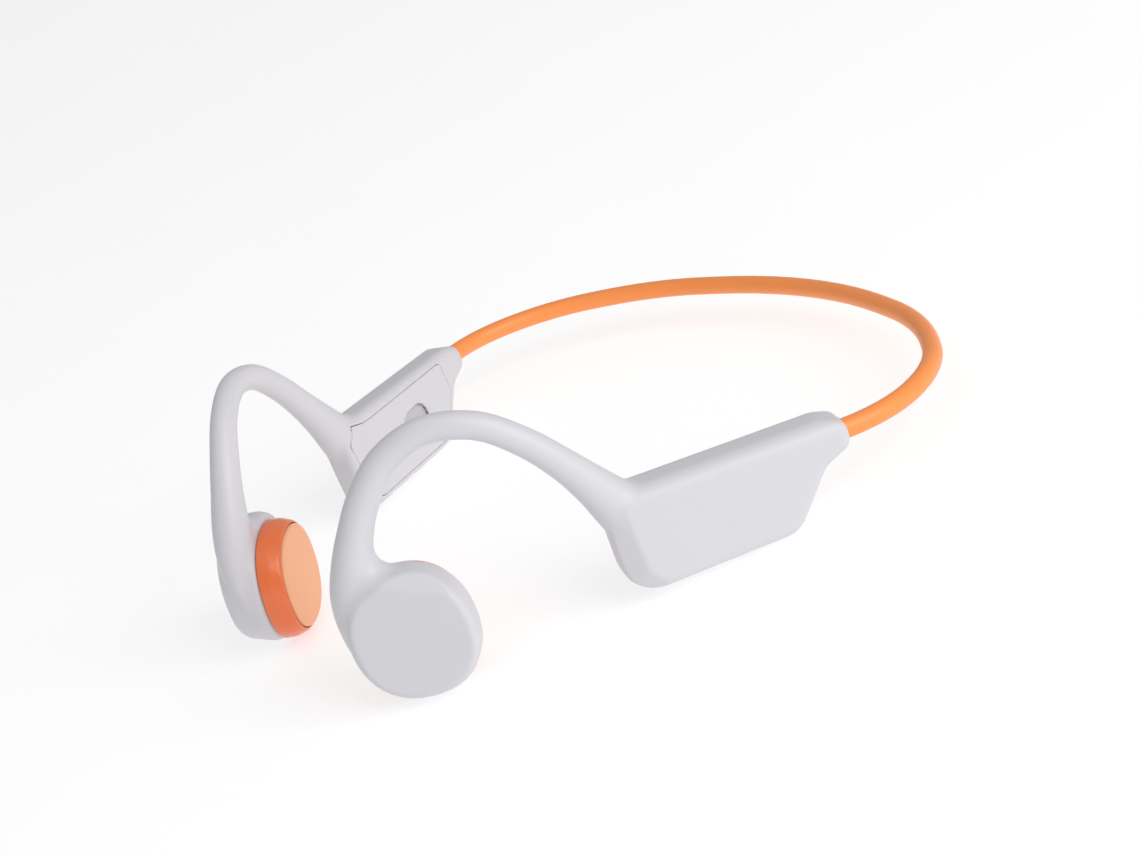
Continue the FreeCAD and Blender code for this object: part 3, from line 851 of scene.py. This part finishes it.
class HEADPHONES_OT_arms(bpy.types.Operator):
    """Mould both arms and their inner covers"""

    bl_idname = "headphones.arms"
    bl_label = "Arms and covers"

    def execute(self, context):
        seam = context.scene.headphone_sizes.seam / MM
        solid = soft_arm("arm_moulding")
        pocket = cover_block("pocket", POCKET_HEIGHTS)
        lid = cover_block("lid", COVER_HEIGHTS, -seam)
        openings = right_openings()
        recess = slot_block("recess", PORT_SIZE, PORT_HEIGHTS, port_place())
        mould_side("left", solid, pocket, lid, [], [])
        mould_side("right", solid, pocket, lid, openings, [recess])
        discard(solid, pocket, lid, recess, *openings)
        return {"FINISHED"}


class HEADPHONES_OT_transducers(bpy.types.Operator):
    """Turn the bezel rings and the contact pads"""

    bl_idname = "headphones.transducers"
    bl_label = "Bezels and pads"

    def execute(self, context):
        for side_name, side in SIDES.items():
            for part, corners, body, slot in (
                ("bezel", BEZEL, side_name + "_side", "bezel"),
                ("contact_pad", PAD, side_name + "_driver", "pad_silicone"),
            ):
                bm = bmesh.new()
                turned(bm, corners, ROUND_STEPS)
                put(bm, disc_place())
                name = side_name + "_" + part
                piece = new_piece(name + "_finish", bm)
                finished(piece, side, body, slot, FINISHES[slot], name)
        return {"FINISHED"}


class HEADPHONES_OT_neckband(bpy.types.Operator):
    """Run the neckband's sleeve from pod to pod"""

    bl_idname = "headphones.neckband"
    bl_label = "Neckband"

    def execute(self, context):
        bm = bmesh.new()
        swept(bm, band_places(), BAND_SIDES)
        band = new_piece("neckband", bm)
        nodes = ("neckband_sleeve", "neckband_wire", "neckband_leads")
        finished(band, 1, None, "band_silicone", FINISHES["band_silicone"], *nodes)
        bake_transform(band)
        return {"FINISHED"}


class HEADPHONES_OT_stage(bpy.types.Operator):
    """Set the floor, the soft lights and the camera"""

    bl_idname = "headphones.stage"
    bl_label = "Stage"

    def execute(self, context):
        scene = context.scene
        bm = bmesh.new()
        bmesh.ops.create_grid(bm, x_segments=1, y_segments=1, size=scene.headphone_sizes.floor / 2)
        floor = new_piece("floor", bm)
        graph = Graph("floor_paint")
        graph.set(Base_Color=graph.blend(graph.noise(FLOOR_PATCH), *FLOOR_TINTS), Roughness=0.8)
        graph.set(Emission_Color=(1, 1, 1, 1), Emission_Strength=FLOOR_GLOW)
        floor.data.materials.append(graph.material)

        world = bpy.data.worlds.new("soft_room")
        scene.world = world
        world.use_nodes = True
        light = world.node_tree.nodes["Background"].inputs
        light["Color"].default_value = (1, 1, 1, 1)
        light["Strength"].default_value = ROOM_LIGHT
        for name, place, size, energy in LAMPS:
            self.soft_box(name, place, size, energy)

        lens = bpy.data.cameras.new("camera")
        lens.lens = CAMERA_LENS
        lens.clip_start = CAMERA_NEAR
        camera = bpy.data.objects.new("camera", lens)
        scene.collection.objects.link(camera)
        camera.location = CAMERA_PLACE
        camera.rotation_euler = [math.radians(angle) for angle in CAMERA_TURN]
        scene.camera = camera
        scene.view_settings.view_transform = "Standard"
        return {"FINISHED"}

    def soft_box(self, name, place, size, energy):
        """A square light that looks at the middle of the headphones."""
        light = bpy.data.lights.new(name, "AREA")
        light.shape = "SQUARE"
        light.size = size
        light.energy = energy
        lamp = bpy.data.objects.new(name, light)
        bpy.context.scene.collection.objects.link(lamp)
        lamp.location = place
        aim = Vector(LAMP_AIM) - Vector(place)
        lamp.rotation_euler = aim.to_track_quat("-Z", "Y").to_euler()


class HEADPHONES_PT_panel(bpy.types.Panel):
    """Lists the steps and settings of the headphones"""

    bl_idname = "HEADPHONES_PT_panel"
    bl_label = "Headphones"
    bl_space_type = "VIEW_3D"
    bl_region_type = "UI"
    bl_category = "Headphones"

    def draw(self, context):
        layout = self.layout
        for group in (context.scene.headphone_colours, context.scene.headphone_sizes):
            for name in group.bl_rna.properties.keys():
                if name not in ("rna_type", "name"):
                    layout.prop(group, name)
        for step in STEPS:
            layout.operator(step.bl_idname)


STEPS = (
    HEADPHONES_OT_finishes,
    HEADPHONES_OT_arms,
    HEADPHONES_OT_transducers,
    HEADPHONES_OT_neckband,
    HEADPHONES_OT_stage,
)
CLASSES = (HeadphoneColours, HeadphoneSizes) + STEPS + (HEADPHONES_PT_panel,)


def register():
    for item in CLASSES:
        bpy.utils.register_class(item)
    bpy.types.Scene.headphone_colours = bpy.props.PointerProperty(type=HeadphoneColours)
    bpy.types.Scene.headphone_sizes = bpy.props.PointerProperty(type=HeadphoneSizes)


def unregister():
    del bpy.types.Scene.headphone_sizes
    del bpy.types.Scene.headphone_colours
    for item in reversed(CLASSES):
        bpy.utils.unregister_class(item)


def main():
    register()
    bpy.ops.headphones.finishes()
    bpy.ops.headphones.arms()
    bpy.ops.headphones.transducers()
    bpy.ops.headphones.neckband()
    bpy.ops.headphones.stage()


if __name__ == "__main__":
    main()
